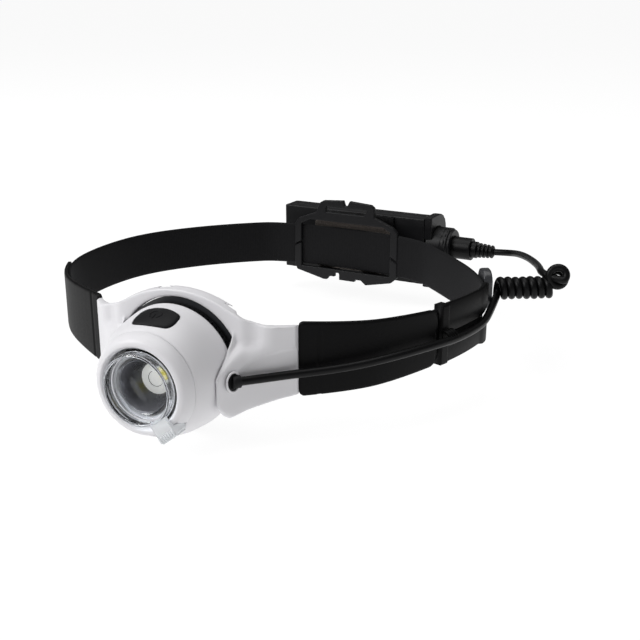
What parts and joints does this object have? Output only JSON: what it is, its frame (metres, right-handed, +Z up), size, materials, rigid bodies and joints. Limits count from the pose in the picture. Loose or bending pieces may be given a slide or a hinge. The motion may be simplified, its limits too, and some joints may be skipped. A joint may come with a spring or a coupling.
{
  "type": "miner's cap lamp",
  "caption": "Headband work light: white focusing head tilting in a bracket, elastic strap with side panels, rear battery pack and coiled power cord.",
  "frame": {"origin": "centre of the head opening at half the height of the strap", "axes": "the lamp shines along -Y, +Z is up, the power cord is on the +X side"},
  "size_m": [0.2567, 0.2738, 0.0626],
  "materials": {
    "white_shell": "satin moulded ABS, white",
    "clear_plastic": "clear polycarbonate",
    "black_plastic": "satin black moulded",
    "grey_plastic": "satin dark grey moulded",
    "dark_alloy": "black anodised",
    "steel": "zinc plated",
    "circuit_board": "solder mask",
    "white_board": "white solder mask",
    "led_yellow": "phosphor under clear silicone",
    "seal_rubber": "matt",
    "button_rubber": "matt moulded",
    "panel_rubber": "satin",
    "strap_fabric": "woven elastic",
    "foam": "open cell",
    "cell_wrap": "shrink sleeve",
    "cord_jacket": "satin PVC"
  },
  "bodies": {
    "headband": {"bracket_frame": "white_shell", "bracket_backplate": "grey_plastic", "backplate_screws": "steel", "hinge_pin": "steel", "detent_spring": "steel", "forehead_pad": "foam", "cord_grommet": "seal_rubber", "headband_strap": "strap_fabric", "side_panel_right": "panel_rubber", "side_panel_left": "panel_rubber", "front_keeper": "black_plastic", "rear_keeper": "panel_rubber", "cord_clip": "grey_plastic", "buckle_frame": "black_plastic", "buckle_pad": "foam", "battery_holder": "black_plastic", "battery_case_front": "black_plastic", "battery_case_rear": "black_plastic", "end_cap": "black_plastic", "cell_upper": "cell_wrap", "cell_lower": "cell_wrap", "cell_contacts": "steel", "battery_board": "circuit_board", "case_screws": "steel", "power_socket": "black_plastic", "plug_body": "panel_rubber", "strain_relief": "panel_rubber", "cord_front_run": "cord_jacket", "cord_coil": "cord_jacket", "cord_lead": "cord_jacket"},
    "lamp_head": {"front_bezel": "white_shell", "front_seal": "seal_rubber", "head_shell": "white_shell", "switch_board": "circuit_board", "tact_switch": "black_plastic", "led_board": "white_board", "led_emitter": "led_yellow", "driver_board": "circuit_board", "heat_sink": "dark_alloy", "rear_gasket": "seal_rubber", "rear_cover": "black_plastic", "cover_screws": "steel"},
    "focus_dial": {"focus_ring": "clear_plastic"},
    "lens_slide": {"lens_carrier": "white_shell", "tir_lens": "clear_plastic"},
    "power_key": {"power_button": "button_rubber"},
    "lock_ring": {"lock_collar": "black_plastic"}
  },
  "joints": [
    {"name": "head_tilt", "type": "hinge", "parent": "headband", "child": "lamp_head", "pos_m": [0, -0.1025, -0.029], "axis": [1, 0, 0], "range_deg": [0, 50]},
    {"name": "focus_turn", "type": "hinge", "parent": "lamp_head", "child": "focus_dial", "pos_m": [0, -0.135, -0.004], "axis": [0, 1, 0], "range_deg": [0, 62]},
    {"name": "lens_travel", "type": "slide", "parent": "lamp_head", "child": "lens_slide", "axis": [0, 1, 0], "range_m": [0, 0.005]},
    {"name": "power_press", "type": "slide", "parent": "lamp_head", "child": "power_key", "axis": [0, 0, -1], "range_m": [0, 0.001], "stiffness_N_per_m": 800, "springref_m": -0.001},
    {"name": "collar_lock", "type": "hinge", "parent": "headband", "child": "lock_ring", "pos_m": [0.05363, 0.1125, 0.0035], "axis": [0.9962, -0.0872, 0], "range_deg": [0, 45]}
  ],
  "couplings": [
    {"joint": "lens_travel", "follows": "focus_turn", "m_per_rad": 0.0046}
  ]
}
